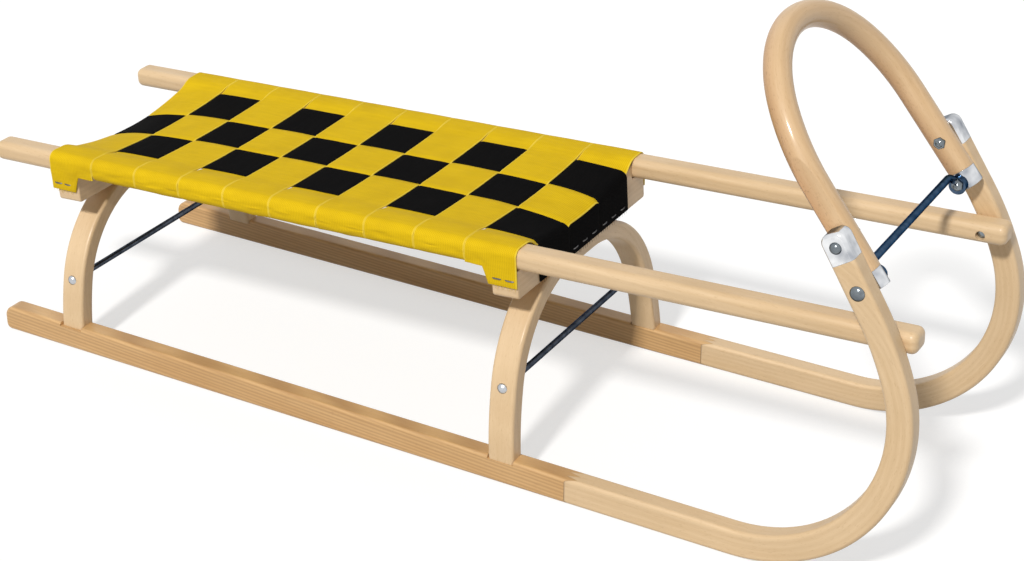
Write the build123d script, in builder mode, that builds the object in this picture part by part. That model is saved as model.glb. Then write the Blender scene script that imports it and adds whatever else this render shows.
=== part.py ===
import os
from math import acos, atan, atan2, cos, exp, hypot, pi, radians, sin, tan

from build123d import *

# Bentwood horn sled: +X forward, +Y to the left side, Z up from the runners' soles, millimetres.
# Stations named AHEAD are measured along the floor from the rear ends of the seat rails.

# Seat rails
RAIL_LENGTH = 1116.0
RAIL_W = 28.0
RAIL_H = 22.5
RAIL_ROUND = 8.0
RAIL_END_ROUND = 7.0
RAIL_Y = 128.5
RAIL_REAR_Z = 213.0
SEAT_SLOPE = 2.68

# Runners and their horns
RUNNER_Y = 176.0
RUNNER_W = 22.5
RUNNER_H = 30.0
RUNNER_REAR_AHEAD = 17.0
RUNNER_ROUND = 4.0
REAR_TOP_ROUND = 13.0
REAR_SOLE_ROUND = 7.0
JOINT_BACK = 185.0
FINGER = 14.0
FINGER_STEPS = 6
HORN_BACK = 10.4
HORN_CONVEX_R = 173.7
HORN_BEND_DEPTH = 26.7
HORN_TURN = 109.6
HORN_EASE_R = 350.0
HORN_EASE_TURN = 13.0
HORN_DEPTH = 25.0
HORN_LEAN_R = 300.0
TIP_ROUND = 9.0

# Arches and crossbeams
LEG_AHEAD = {"rear": 117.3, "front": 693.2}
ROD_HEIGHT = {"rear": 81.2, "front": 105.3}
LEG_X = 30.5
ARCH_T = 20.2
ARCH_ROUND = 4.0
ARCH_LEG_R = 357.5
ARCH_CROWN_R = 144.3
ARCH_TURN = 17.1
CROWN_DROP = 24.1
ARCH_LEAN = 4.0
BEAM_X = 31.0
BEAM_DROP = 32.5
BEAM_ROUND = 2.0
BEAM_SHOULDER = 4.0
DISH_EDGE = 6.0
DISH_CLEAR = 1.0

# Hoop and fittings
HOOP_R = 13.7
HOOP_ANGLE = 128.2
HOOP_LEG = 77.2
HOOP_SIDE_R = 156.0
HOOP_SIDE_TURN = 29.7
HOOP_LAP = 3.5
HOOP_END = 9.0
FERRULE_T = 1.2
HORN_FERRULE = 30.0
HOOP_FERRULE = 28.0
LOWER_BOLT_RISE = 50.0
BOLT_PITCH = 46.3
TIP_BEYOND = 15.0
BOLT_R = 3.0
BOLT_HEAD_R = {"upper": 6.0, "lower": 7.5}
BOLT_DOME = 4.0
NUT_R = 5.0
NUT_DOME = 4.0
TOW_R = 4.0
TOW_RISE = 12.5
TOW_BEND = 12.0
EYE_R = 9.0
EYE_T = 8.0
EYE_SINK = 0.5
TIE_R = 3.4
TIE_HEAD_R = 5.8
TIE_DOME = 3.4
HEAD_SINK = 1.6
SCREW_R = 2.5
SCREW_BORE_R = 5.0
SCREW_BORE = 9.0
SCREW_HEAD_R = 4.6
SCREW_HEAD = 3.0
SCREW_GRIP = 14.0
SCREW_BACK = 16.2
SCREW_LOW = 2.0

# Woven seat
WEB_T = 1.6
WEB_GAP = 0.3
BAND_W = 60.0
BAND_COUNT = 10
BAND_OVERHANG = 4.5
STRAP_W = 61.5
STRAP_PITCH = 66.3
STRAP_CLEAR = 0.3
SAG_END = {"rear": 19.0, "front": 16.0}
SAG_MIDDLE = 3.0
SAG_REACH = 45.0
FLAP = 19.0
FLAP_W = 36.0
STRAP_DROP = 30.0

slope = radians(SEAT_SLOPE)
rail_out = RAIL_Y + RAIL_W / 2
rail_in = RAIL_Y - RAIL_W / 2
rail_top = RAIL_H / 2
turn = radians(HORN_TURN)
tip_angle = radians(HORN_TURN + HORN_EASE_TURN)
horn_concave_r = HORN_CONVEX_R - HORN_BEND_DEPTH


def rail_z(ahead):
    return RAIL_REAR_Z + ahead * tan(slope)


# Reach of the horn's front face ahead of its bend, at the height of the rails.
cross_ahead = RAIL_LENGTH * cos(slope) - HORN_BACK
cross_z = rail_z(cross_ahead)
bend_top_z = HORN_CONVEX_R * (1 - cos(turn))
ease_top_z = bend_top_z + HORN_EASE_R * (cos(turn) - cos(tip_angle))
ease_top_reach = HORN_CONVEX_R * sin(turn) + HORN_EASE_R * (sin(tip_angle) - sin(turn))
if cross_z < bend_top_z:
    cross_reach = HORN_CONVEX_R * sin(acos(1 - cross_z / HORN_CONVEX_R))
elif cross_z < ease_top_z:
    cross_angle = acos(cos(turn) - (cross_z - bend_top_z) / HORN_EASE_R)
    cross_reach = HORN_CONVEX_R * sin(turn) + HORN_EASE_R * (sin(cross_angle) - sin(turn))
else:
    cross_reach = ease_top_reach + (cross_z - ease_top_z) / tan(tip_angle)
bend_ahead = cross_ahead - cross_reach
joint_ahead = bend_ahead - JOINT_BACK
rear_end = -(rail_top - RAIL_ROUND) * sin(slope)
middle = (rear_end + bend_ahead + HORN_CONVEX_R) / 2


def station(ahead):
    return ahead - middle


seat = Plane(origin=(station(0), 0, RAIL_REAR_Z), x_dir=(cos(slope), 0, sin(slope)),
             z_dir=(-sin(slope), 0, cos(slope)))


def across(u):
    # Plane square to the rails: local x is to the left, local y is up from the rails' centre line.
    return Plane(origin=seat.from_local_coords((u, 0, 0)), x_dir=(0, 1, 0), z_dir=seat.x_dir)


def lengthwise(v):
    # Plane along the rails: local x is forward, local y is up from the rails' centre line.
    return Plane(origin=seat.from_local_coords((0, v, 0)), x_dir=seat.x_dir, z_dir=(0, -1, 0))


def ball(rim, height):
    # Radius of the ball that a dome of this rim radius and height is cut from.
    return (rim ** 2 + height ** 2) / (2 * height)


def save(part, name):
    part.label = name
    export_step(part, "parts/" + name + ".step")


os.makedirs("parts", exist_ok=True)

# Horn centre line above the two bends: a straight tip leaning back, with its bolts set above the rails.
tip_x = bend_ahead + ease_top_reach - HORN_DEPTH / 2 * sin(tip_angle)
tip_z = ease_top_z + HORN_DEPTH / 2 * cos(tip_angle)
lower_bolt = (cross_z + LOWER_BOLT_RISE - tip_z) / sin(tip_angle)
upper_bolt = lower_bolt + BOLT_PITCH
tip_length = upper_bolt + TIP_BEYOND


def on_horn(distance):
    return tip_x + distance * cos(tip_angle), tip_z + distance * sin(tip_angle)


def tip_point(distance, offset):
    x, z = on_horn(distance)
    return station(x) + offset * sin(tip_angle), z - offset * cos(tip_angle)


# The horns bend inward from above the runners' tops and lean until they meet the rails' outer sides.
lean_z = RUNNER_H + RUNNER_ROUND
lean_y = RUNNER_Y - RUNNER_W - HORN_LEAN_R
contact_z = rail_z(bend_ahead + HORN_CONVEX_R) + rail_top - RAIL_ROUND
to_contact = hypot(rail_out - lean_y, contact_z - lean_z)
lean_angle = atan2(contact_z - lean_z, rail_out - lean_y) - acos(HORN_LEAN_R / to_contact)


def horn_y(z, out):
    # Place of the left horn's inner side at a height, or of the surface that lies further out by some depth.
    return lean_y + (HORN_LEAN_R + out - (z - lean_z) * sin(lean_angle)) / cos(lean_angle)


def lap(distance):
    # Plane on the left horn's inner side at a bolt, facing outward.
    x, z = on_horn(distance)
    return Plane(origin=(station(x), horn_y(z, 0), z), x_dir=(1, 0, 0),
                 z_dir=(0, cos(lean_angle), sin(lean_angle)))


def along(edges):
    # Edges that run along a bar, and not across its width from side to side.
    return edges.filter_by(lambda edge: abs((edge % 0.5).Y) < 0.5)


# Zigzag of the finger joint, seen from above, closed round everything ahead of it.
finger_line = []
for i in range(FINGER_STEPS + 1):
    finger_x = station(joint_ahead) + (FINGER if i % 2 else 0.0)
    finger_line.append((finger_x, RUNNER_Y - RUNNER_W + RUNNER_W * i / FINGER_STEPS))
finger_line = [(finger_line[0][0], 0.0)] + finger_line + [(finger_line[-1][0], 2 * RUNNER_Y)]
ahead_side = finger_line + [(RAIL_LENGTH, 2 * RUNNER_Y), (RAIL_LENGTH, 0.0)]
tip_top = tip_z + tip_length

# Horn piece of the left runner, one bent bar from the finger joint to the tip.
bar_start = station(joint_ahead) - FINGER
with BuildPart() as horn_bar:
    with BuildSketch(Plane.XZ):
        with BuildLine():
            sole = Line((bar_start, 0), (station(bend_ahead), 0))
            front_bend = JernArc(sole @ 1, sole % 1, HORN_CONVEX_R, HORN_TURN)
            front_ease = JernArc(front_bend @ 1, front_bend % 1, HORN_EASE_R, HORN_EASE_TURN)
            front_tip = Line(front_ease @ 1, tip_point(tip_length, HORN_DEPTH / 2))
            top = Line((bar_start, RUNNER_H), (station(bend_ahead), RUNNER_H))
            back_bend = JernArc(top @ 1, top % 1, horn_concave_r, HORN_TURN)
            back_ease = TangentArc(back_bend @ 1, tip_point(0, -HORN_DEPTH / 2), tangent=back_bend % 1)
            back_tip = Line(back_ease @ 1, tip_point(tip_length, -HORN_DEPTH / 2))
            Line(front_tip @ 1, back_tip @ 1)
            Line(sole @ 0, top @ 0)
        face = make_face()
        fillet(face.vertices().sort_by(Axis.Y)[-2:], radius=TIP_ROUND)
    extrude(amount=-2 * RUNNER_Y)
    with BuildSketch(Plane.YZ):
        with BuildLine():
            low_side = Line((RUNNER_Y - RUNNER_W, 0), (RUNNER_Y, 0))
            out_low = Line(low_side @ 1, (RUNNER_Y, lean_z))
            out_bend = JernArc(out_low @ 1, (0, 1), HORN_LEAN_R + RUNNER_W, lean_angle * 180 / pi)
            out_high = Line(out_bend @ 1, (horn_y(tip_top, RUNNER_W), tip_top))
            in_low = Line(low_side @ 0, (RUNNER_Y - RUNNER_W, lean_z))
            in_bend = JernArc(in_low @ 1, (0, 1), HORN_LEAN_R, lean_angle * 180 / pi)
            in_high = Line(in_bend @ 1, (horn_y(tip_top, 0), tip_top))
            Line(out_high @ 1, in_high @ 1)
        make_face()
    extrude(amount=RAIL_LENGTH, both=True, mode=Mode.INTERSECT)
    fillet(along(horn_bar.edges()).filter_by(lambda edge: edge.center().X > bar_start + 1), radius=RUNNER_ROUND)
    with BuildSketch():
        with BuildLine():
            Polyline(*ahead_side, close=True)
        make_face()
    extrude(amount=tip_top, mode=Mode.INTERSECT)

# Straight rear piece of the left runner, rounded at its rear end.
bar_end = station(joint_ahead) + FINGER
with BuildPart() as rear_bar:
    with BuildSketch(Plane.XZ.offset(-RUNNER_Y)) as rear_side:
        with BuildLine():
            Polyline((station(RUNNER_REAR_AHEAD), 0), (bar_end, 0), (bar_end, RUNNER_H),
                     (station(RUNNER_REAR_AHEAD), RUNNER_H), close=True)
        make_face()
        fillet(rear_side.vertices().group_by(Axis.X)[0].sort_by(Axis.Y)[-1], radius=REAR_TOP_ROUND)
        fillet(rear_side.vertices().group_by(Axis.X)[0].sort_by(Axis.Y)[0], radius=REAR_SOLE_ROUND)
    extrude(amount=RUNNER_W)
    fillet(along(rear_bar.edges()).filter_by(lambda edge: edge.center().X < bar_end - 1), radius=RUNNER_ROUND)
    with BuildSketch():
        with BuildLine():
            Polyline(*ahead_side, close=True)
        make_face()
    extrude(amount=RUNNER_H, mode=Mode.SUBTRACT)

# Arches and crossbeams stand in planes that lean back; heights there start at the runners' tops.
arch_lean = radians(ARCH_LEAN)
rail_under = {}
beam_ahead = {}
arch_plane = {}
for end in LEG_AHEAD:
    beam_ahead[end] = LEG_AHEAD[end] - (rail_z(LEG_AHEAD[end]) - RAIL_H / 2 - RUNNER_H) * tan(arch_lean)
    rail_under[end] = (rail_z(beam_ahead[end]) - RAIL_H / 2 - RUNNER_H) / cos(arch_lean)
    arch_plane[end] = Plane(origin=(station(LEG_AHEAD[end]), 0, RUNNER_H), x_dir=(0, 1, 0),
                            z_dir=(cos(arch_lean), 0, sin(arch_lean)))

# Arches: one bent bar each, its crown lower at the rear; the feet are let into the runners' rounded tops.
# The square bar cuts the notches, and the finished one has its edges rounded.
# Tie rods run between the legs, their dome heads pressed into the wood.
foot_z = RUNNER_H - RUNNER_ROUND
square_bars = {}
arch_bars = {}
foot_cuts = {}
ties = {}
for end in LEG_AHEAD:
    crown = rail_under[end] - CROWN_DROP
    spring = crown - ARCH_CROWN_R - (ARCH_LEG_R - ARCH_CROWN_R) * sin(radians(ARCH_TURN))
    leg_base = min(spring, 0) - 2 * RUNNER_H
    with BuildPart() as arch:
        with BuildSketch(arch_plane[end]):
            with BuildLine():
                leg_out = Line((RUNNER_Y, leg_base), (RUNNER_Y, spring))
                bend_out = JernArc(leg_out @ 1, leg_out % 1, ARCH_LEG_R, ARCH_TURN)
                crown_out = JernArc(bend_out @ 1, bend_out % 1, ARCH_CROWN_R, 90 - ARCH_TURN)
                Line(crown_out @ 1, (0, crown))
                leg_in = Line((RUNNER_Y - ARCH_T, leg_base), (RUNNER_Y - ARCH_T, spring))
                bend_in = JernArc(leg_in @ 1, leg_in % 1, ARCH_LEG_R - ARCH_T, ARCH_TURN)
                crown_in = JernArc(bend_in @ 1, bend_in % 1, ARCH_CROWN_R - ARCH_T, 90 - ARCH_TURN)
                Line(crown_in @ 1, (0, crown - ARCH_T))
                Line((0, crown), (0, crown - ARCH_T))
                Line(leg_out @ 0, leg_in @ 0)
            make_face()
            mirror(about=Plane.YZ)
        extrude(amount=LEG_X / 2, both=True)
    square_bars[end] = arch.part
    normal = arch_plane[end].z_dir
    with BuildPart() as round_arch:
        add(arch.part)
        rims = round_arch.edges().filter_by(lambda edge: abs((edge % 0.5).dot(normal)) < 0.5)
        fillet(rims.filter_by(lambda edge: edge.center().Z > RUNNER_H + leg_base + 1), radius=ARCH_ROUND)
        split(bisect_by=Plane.XY.offset(foot_z), keep=Keep.TOP)
    arch_bars[end] = round_arch.part
    with BuildPart() as foot_cut:
        add(arch.part)
        with BuildSketch(arch_plane[end]):
            with Locations((RUNNER_Y, 0), (-RUNNER_Y, 0)):
                Rectangle(ARCH_T, 2 * RUNNER_H)
        extrude(amount=LEG_X / 2, both=True)
        split(bisect_by=Plane.XY.offset(foot_z), keep=Keep.TOP)
    foot_cuts[end] = foot_cut.part

    rod_rise = (ROD_HEIGHT[end] - RUNNER_H) / cos(arch_lean)
    rise = rod_rise - spring
    head_y = RUNNER_Y - ARCH_LEG_R + (ARCH_LEG_R ** 2 - rise ** 2) ** 0.5
    if rise > ARCH_LEG_R * sin(radians(ARCH_TURN)):
        head_rise = rise - (ARCH_LEG_R - ARCH_CROWN_R) * sin(radians(ARCH_TURN))
        head_y = RUNNER_Y - ARCH_LEG_R + (ARCH_LEG_R - ARCH_CROWN_R) * cos(radians(ARCH_TURN))
        head_y = head_y + (ARCH_CROWN_R ** 2 - head_rise ** 2) ** 0.5
    neck_y = head_y - HEAD_SINK
    rod_origin = arch_plane[end].from_local_coords((0, rod_rise, 0))
    with BuildPart() as tie:
        with BuildSketch(Plane(origin=rod_origin, x_dir=(0, 1, 0), z_dir=(1, 0, 0))):
            with BuildLine():
                rod_edge = Polyline((0, 0), (0, TIE_R), (neck_y, TIE_R), (neck_y, TIE_HEAD_R),
                                    (head_y, TIE_HEAD_R))
                dome = RadiusArc(rod_edge @ 1, (head_y + TIE_DOME, 0), ball(TIE_HEAD_R, TIE_DOME))
                Line(dome @ 1, (0, 0))
            make_face()
            mirror(about=Plane.YZ)
        revolve(axis=Axis(rod_origin, (0, 1, 0)))
    ties[end] = tie.part

# Crossbeams: notched over the arch crowns, dished on top, with seats for the rails on their ends.
beams = {}
for end in LEG_AHEAD:
    under = rail_under[end]
    bottom = under - BEAM_DROP
    shoulder = under + BEAM_SHOULDER
    rim = under + RAIL_H - DISH_EDGE
    dish = under + RAIL_H - SAG_END[end] - 2 * WEB_T - DISH_CLEAR
    with BuildPart() as beam:
        with BuildSketch(arch_plane[end]) as beam_side:
            with BuildLine():
                outline = Polyline((-rail_in, rim), (-rail_in, shoulder), (-rail_out, shoulder),
                                   (-rail_out, bottom), (rail_out, bottom), (rail_out, shoulder),
                                   (rail_in, shoulder), (rail_in, rim))
                ThreePointArc(outline @ 1, (0, dish), outline @ 0)
            make_face()
            fillet(beam_side.vertices().group_by(Axis.Y)[0], radius=2 * BEAM_ROUND)
        extrude(amount=BEAM_X / 2, both=True)
        rims = beam.edges().filter_by(lambda edge: abs((edge % 0.5).dot(arch_plane[end].z_dir)) < 0.5)
        low_z = rail_z(beam_ahead[end]) - RAIL_H
        fillet(rims.filter_by(lambda edge: edge.center().Z < low_z), radius=BEAM_ROUND)
        with BuildSketch(across(beam_ahead[end] / cos(slope) - BEAM_X)):
            with Locations((RAIL_Y + RAIL_W / 2, rail_top), (-RAIL_Y - RAIL_W / 2, rail_top)):
                Rectangle(2 * RAIL_W, 2 * RAIL_H)
        extrude(amount=2 * BEAM_X, mode=Mode.SUBTRACT)
        add(square_bars[end], mode=Mode.SUBTRACT)
    beams[end] = beam.part

# Left seat rail, a rounded bar with bullnosed ends.
with BuildPart() as rail:
    with BuildSketch(across(0)):
        with Locations((RAIL_Y, 0)):
            RectangleRounded(RAIL_W, RAIL_H, RAIL_ROUND)
    extrude(amount=RAIL_LENGTH)
    fillet(rail.edges().group_by(Axis.X)[0] + rail.edges().group_by(Axis.X)[-1], radius=RAIL_END_ROUND)

# Hoop: round bar in one leaning plane, its legs following the horns' inner sides and its crown of three arcs.
lower_x, lower_z = on_horn(lower_bolt)
upper_x, upper_z = on_horn(upper_bolt)
lap_x = (lower_x + upper_x) / 2
lap_z = (lower_z + upper_z) / 2
hoop_dir = radians(HOOP_ANGLE)
hoop_plane = Plane(origin=(station(lap_x), 0, lap_z), x_dir=(cos(hoop_dir), 0, sin(hoop_dir)),
                   z_dir=(-sin(hoop_dir), 0, cos(hoop_dir)))
hoop_y = horn_y(lap_z, 0) - HOOP_R + HOOP_LAP
hoop_lean = atan(tan(lean_angle) * sin(hoop_dir))
leg_start = -BOLT_PITCH / 2 - HOOP_END
leg_low = (leg_start, -hoop_y + leg_start * tan(hoop_lean))
leg_high = (HOOP_LEG, -hoop_y + HOOP_LEG * tan(hoop_lean))
side_turn = radians(HOOP_SIDE_TURN)
side_in = HOOP_SIDE_R * (cos(hoop_lean) - cos(hoop_lean + side_turn))
hoop_crown_r = (-leg_high[1] - side_in) / cos(hoop_lean + side_turn)
crown_turn = 2 * (90 - hoop_lean * 180 / pi - HOOP_SIDE_TURN)
with BuildPart() as hoop_bar:
    with BuildLine(hoop_plane) as hoop_line:
        right_leg = Line(leg_low, leg_high)
        right_side = JernArc(right_leg @ 1, right_leg % 1, HOOP_SIDE_R, HOOP_SIDE_TURN)
        hoop_crown = JernArc(right_side @ 1, right_side % 1, hoop_crown_r, crown_turn)
        left_side = JernArc(hoop_crown @ 1, hoop_crown % 1, HOOP_SIDE_R, HOOP_SIDE_TURN)
        left_leg = Line(left_side @ 1, hoop_plane.from_local_coords((leg_low[0], -leg_low[1])))
    with BuildSketch(Plane(origin=hoop_line.line @ 0, z_dir=hoop_line.line % 0)):
        Circle(HOOP_R)
    sweep(path=hoop_line.line)
    # Flats planed on both legs where they lie against the horns.
    for side in (1, -1):
        flat = Plane(origin=(station(lap_x), side * horn_y(lap_z, 0), lap_z), x_dir=(1, 0, 0),
                     z_dir=(0, side * cos(lean_angle), sin(lean_angle)))
        with BuildSketch(flat):
            Rectangle(4 * HOOP_LEG, 4 * HOOP_LEG)
        extrude(amount=2 * HOOP_R, mode=Mode.SUBTRACT)

# Steel cap on the left horn tip, let in flush with the wood.
cap_start = tip_length - HORN_FERRULE
core_start = cap_start - HORN_FERRULE / 4
core_end = tip_length - FERRULE_T
core_depth = HORN_DEPTH / 2 - FERRULE_T
core_out = RUNNER_W - FERRULE_T
with BuildPart() as tip_core:
    with BuildSketch(Plane.XZ):
        with BuildLine():
            Polyline(tip_point(core_start, core_depth), tip_point(core_end, core_depth),
                     tip_point(core_end, -core_depth), tip_point(core_start, -core_depth), close=True)
        core_face = make_face()
        fillet(core_face.vertices().sort_by(Axis.Y)[-2:], radius=TIP_ROUND - FERRULE_T)
    extrude(amount=-2 * RUNNER_Y)
    with BuildSketch(Plane.YZ):
        with BuildLine():
            Polyline((horn_y(contact_z, FERRULE_T), contact_z), (horn_y(contact_z, core_out), contact_z),
                     (horn_y(tip_top, core_out), tip_top), (horn_y(tip_top, FERRULE_T), tip_top), close=True)
        make_face()
    extrude(amount=RAIL_LENGTH, both=True, mode=Mode.INTERSECT)
    core_low = tip_core.faces().sort_by(Axis((0, 0, 0), (cos(tip_angle), 0, sin(tip_angle))))[0]
    core_edges = [edge for edge in along(tip_core.edges()) if edge not in core_low.edges()]
    fillet(core_edges, radius=RUNNER_ROUND - FERRULE_T)

cap_x, cap_z = on_horn(cap_start)
with BuildPart() as horn_cap:
    add(horn_bar.part)
    split(bisect_by=Plane(origin=(station(cap_x), 0, cap_z), z_dir=(cos(tip_angle), 0, sin(tip_angle))),
          keep=Keep.TOP)
    add(tip_core.part, mode=Mode.SUBTRACT)

# Steel cap on the lower end of the hoop's left leg.
leg_dir = (hoop_line.line % 0).normalized()
leg_end = hoop_line.line @ 0
with BuildPart() as leg_core:
    with BuildSketch(Plane(origin=leg_end + leg_dir * FERRULE_T, z_dir=leg_dir)):
        Circle(HOOP_R - FERRULE_T)
    extrude(amount=HOOP_FERRULE * 1.25)
    with BuildSketch(lap(lower_bolt).offset(-FERRULE_T)):
        Rectangle(4 * HOOP_LEG, 4 * HOOP_LEG)
    extrude(amount=2 * HOOP_R, mode=Mode.SUBTRACT)
with BuildPart() as hoop_cap:
    add(hoop_bar.part)
    split(bisect_by=Plane(origin=leg_end + leg_dir * HOOP_FERRULE, z_dir=leg_dir), keep=Keep.BOTTOM)
    split(bisect_by=Plane.XZ, keep=Keep.BOTTOM)
    add(leg_core.part, mode=Mode.SUBTRACT)

# Bolts of the left side, domed at both ends: upper through cap, horn and hoop, lower also through the tow eye.
hoop_side = 2 * HOOP_R - HOOP_LAP
bolt_inside = {"upper": hoop_side - HEAD_SINK, "lower": hoop_side + EYE_T - EYE_SINK}
bolt_place = {"upper": upper_bolt, "lower": lower_bolt}
bolts = {}
for level in bolt_place:
    at = lap(bolt_place[level])
    inner = -bolt_inside[level]
    head = BOLT_HEAD_R[level]
    with BuildPart() as bolt:
        with BuildSketch(Plane(origin=at.origin, x_dir=at.z_dir, z_dir=(1, 0, 0))):
            with BuildLine():
                nut = RadiusArc((inner - NUT_DOME, 0), (inner, NUT_R), ball(NUT_R, NUT_DOME))
                stem = Polyline(nut @ 1, (inner, BOLT_R), (RUNNER_W, BOLT_R), (RUNNER_W, head))
                cap_dome = RadiusArc(stem @ 1, (RUNNER_W + BOLT_DOME, 0), ball(head, BOLT_DOME))
                Line(cap_dome @ 1, nut @ 0)
            make_face()
        revolve(axis=Axis(at.origin, at.z_dir))
    bolts[level] = bolt.part

# Tow rod: one round bar between the hoop's legs, bent down at both ends into eyes on the lower bolts.
eye_plane = lap(lower_bolt).offset(-hoop_side + EYE_SINK)
rod_centre = lap(lower_bolt).offset(-hoop_side - TOW_R - EYE_T / 8).origin
with BuildPart() as tow_rod:
    with BuildLine(Plane(origin=(rod_centre.X, 0, rod_centre.Z), x_dir=(cos(hoop_dir), 0, sin(hoop_dir)),
                         z_dir=(-sin(hoop_dir), 0, cos(hoop_dir)))) as tow_line:
        FilletPolyline((0, rod_centre.Y), (TOW_RISE, rod_centre.Y), (TOW_RISE, -rod_centre.Y),
                       (0, -rod_centre.Y), radius=TOW_BEND)
    with BuildSketch(Plane(origin=tow_line.line @ 0, z_dir=tow_line.line % 0)):
        Circle(TOW_R)
    sweep(path=tow_line.line)
    for side in (1, -1):
        with BuildSketch(Plane(origin=(eye_plane.origin.X, side * eye_plane.origin.Y, eye_plane.origin.Z),
                               x_dir=(1, 0, 0), z_dir=(0, -side * cos(lean_angle), -sin(lean_angle)))):
            Circle(EYE_R)
        extrude(amount=EYE_T)
    add(bolts["lower"], mode=Mode.SUBTRACT)
    add(bolts["lower"].mirror(Plane.XZ), mode=Mode.SUBTRACT)

# Screw that holds the left rail to its horn, sunk in a bore from the inside.
screw_u = (cross_ahead - SCREW_BACK) / cos(slope)
screw_plane = Plane(origin=seat.from_local_coords((screw_u, rail_in, -SCREW_LOW)), x_dir=seat.x_dir,
                    z_dir=(0, 1, 0))
with BuildPart(screw_plane) as screw:
    with Locations((0, 0, SCREW_BORE - SCREW_HEAD)):
        Cylinder(SCREW_HEAD_R, SCREW_HEAD, align=(Align.CENTER, Align.CENTER, Align.MIN))
    with Locations((0, 0, SCREW_BORE)):
        Cylinder(SCREW_R, RAIL_W - SCREW_BORE + SCREW_GRIP, align=(Align.CENTER, Align.CENTER, Align.MIN))
with BuildPart(screw_plane) as screw_bore:
    with Locations((0, 0, -SCREW_BORE)):
        Cylinder(SCREW_BORE_R, 2 * SCREW_BORE, align=(Align.CENTER, Align.CENTER, Align.MIN))

# Finished wooden pieces, with the places of the other pieces cut into them.
arch_feet = [foot_cuts["rear"], foot_cuts["front"]]
with BuildPart() as horn:
    add(horn_bar.part)
    add([horn_cap.part, bolts["upper"], bolts["lower"], screw.part], mode=Mode.SUBTRACT)
    add(arch_feet, mode=Mode.SUBTRACT)
with BuildPart() as horn_tip:
    add(horn_cap.part)
    add(bolts["upper"], mode=Mode.SUBTRACT)
with BuildPart() as runner_rear:
    add(rear_bar.part)
    add(arch_feet, mode=Mode.SUBTRACT)
with BuildPart() as seat_rail:
    add(rail.part)
    add([screw_bore.part, screw.part], mode=Mode.SUBTRACT)
with BuildPart() as hoop_end:
    add(hoop_cap.part)
    add([bolts["lower"], tow_rod.part], mode=Mode.SUBTRACT)
with BuildPart() as hoop:
    add(hoop_bar.part)
    add([hoop_cap.part, hoop_cap.part.mirror(Plane.XZ), tow_rod.part], mode=Mode.SUBTRACT)
    for level in bolts:
        add([bolts[level], bolts[level].mirror(Plane.XZ)], mode=Mode.SUBTRACT)

# Left pieces and their mirror images on the right.
PAIRS = {"runner_horn": horn.part, "horn_ferrule": horn_tip.part, "runner_rear": runner_rear.part,
         "rail": seat_rail.part, "hoop_ferrule": hoop_end.part, "rail_screw": screw.part,
         "bolt_upper": bolts["upper"], "bolt_lower": bolts["lower"]}
for name in PAIRS:
    with BuildPart() as right_piece:
        mirror(PAIRS[name], about=Plane.XZ)
    save(PAIRS[name], name + "_left")
    save(right_piece.part, name + "_right")

for end in LEG_AHEAD:
    with BuildPart() as drilled_arch:
        add(arch_bars[end])
        add(ties[end], mode=Mode.SUBTRACT)
    save(drilled_arch.part, "arch_" + end)
    save(ties[end], "tie_rod_" + end)
    save(beams[end], "crossbeam_" + end)
save(hoop.part, "hoop")
save(tow_rod.part, "tow_rod")

# Woven seat: bands across and straps along, each passing over and under in turn.
# It is taut between the crossbeams and dips where the straps pull it down over their dished tops.
rear_face = beam_ahead["rear"] / cos(slope) - rail_top * sin(slope) - BEAM_X / 2
front_face = beam_ahead["front"] / cos(slope) - rail_top * sin(slope) + BEAM_X / 2
band_start = rear_face - BAND_OVERHANG
band_pitch = (front_face - band_start - BAND_W) / (BAND_COUNT - 1)
face_shift = STRAP_DROP * tan(arch_lean - slope)
wrap_y = rail_in + RAIL_ROUND
corner_y = wrap_y - RAIL_ROUND / 4
layer = (WEB_T + WEB_GAP) / 2


def web_level(u, v):
    # Height of the sheet between upper and lower webbing.
    rear_dip = (SAG_END["rear"] - SAG_MIDDLE) * exp((band_start - u) / SAG_REACH)
    front_dip = (SAG_END["front"] - SAG_MIDDLE) * exp((u - front_face) / SAG_REACH)
    return rail_top - WEB_T - (SAG_MIDDLE + rear_dip + front_dip) * (1 - (v / wrap_y) ** 2)


def band_on_top(band, strap):
    return (band + abs(strap)) % 2 == 1


def band_section(band, u):
    # Outline of a band between the rails' tops, cut across the seat.
    half = []
    for strap in (0, 1):
        shift = layer if band_on_top(band, strap) else -layer
        edge = STRAP_W / 2 + STRAP_CLEAR
        for v in (strap * STRAP_PITCH - edge, strap * STRAP_PITCH + edge):
            if v > 0:
                half.append((v, web_level(u, v) + shift))
    half.append((corner_y, rail_top + WEB_T / 2))
    half.append((wrap_y, rail_top + WEB_T / 2))
    half.append((wrap_y + STRAP_CLEAR, rail_top + WEB_T / 2))
    centre = [(-v, w) for v, w in reversed(half)] + half
    return [(v, w + WEB_T / 2) for v, w in centre] + [(v, w - WEB_T / 2) for v, w in reversed(centre)]


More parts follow.
